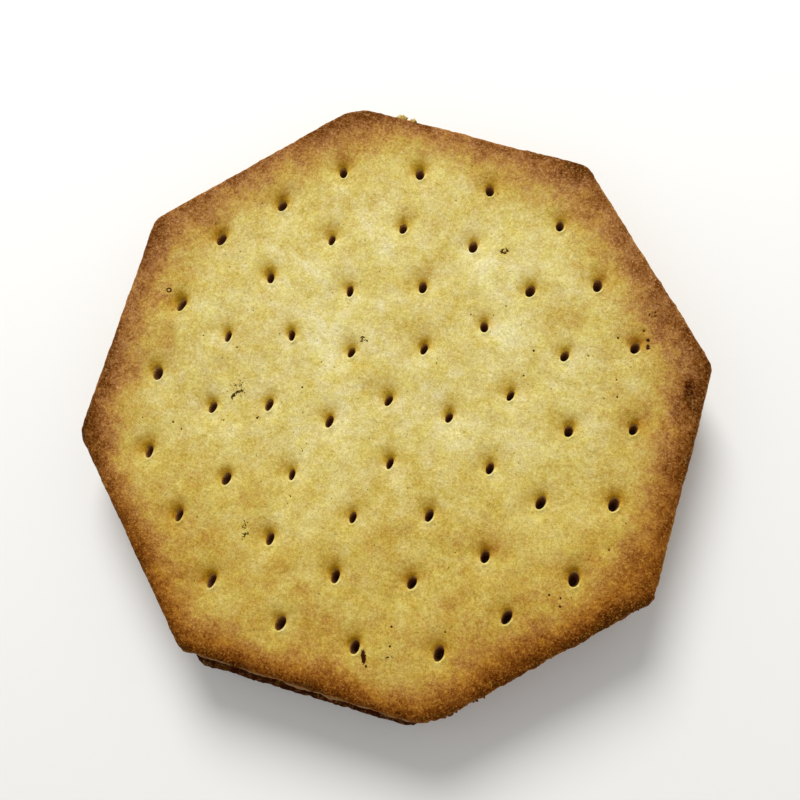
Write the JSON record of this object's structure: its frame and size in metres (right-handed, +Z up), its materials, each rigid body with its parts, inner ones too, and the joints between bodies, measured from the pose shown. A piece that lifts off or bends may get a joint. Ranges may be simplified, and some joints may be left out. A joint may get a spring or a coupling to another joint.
{
  "type": "sandwich cracker",
  "caption": "Scallion cracker sandwich: eight-sided docked crackers, golden with browned rims, around a thin recessed filling, the lower one slightly out of line.",
  "frame": {"origin": "on the surface it rests on, under the middle of the part's box", "axes": "+Z up through the docked upper face; -Y towards the side where the lower cracker peeks out"},
  "size_m": [0.0614, 0.0618, 0.0087],
  "materials": {
    "baked_crust": "dry baked dough, matte, golden brown at the rim",
    "filling_cream": "firm cream filling, soft satin"
  },
  "bodies": {
    "root": {"top_cracker": "baked_crust", "filling": "filling_cream", "bottom_cracker": "baked_crust"}
  },
  "joints": []
}
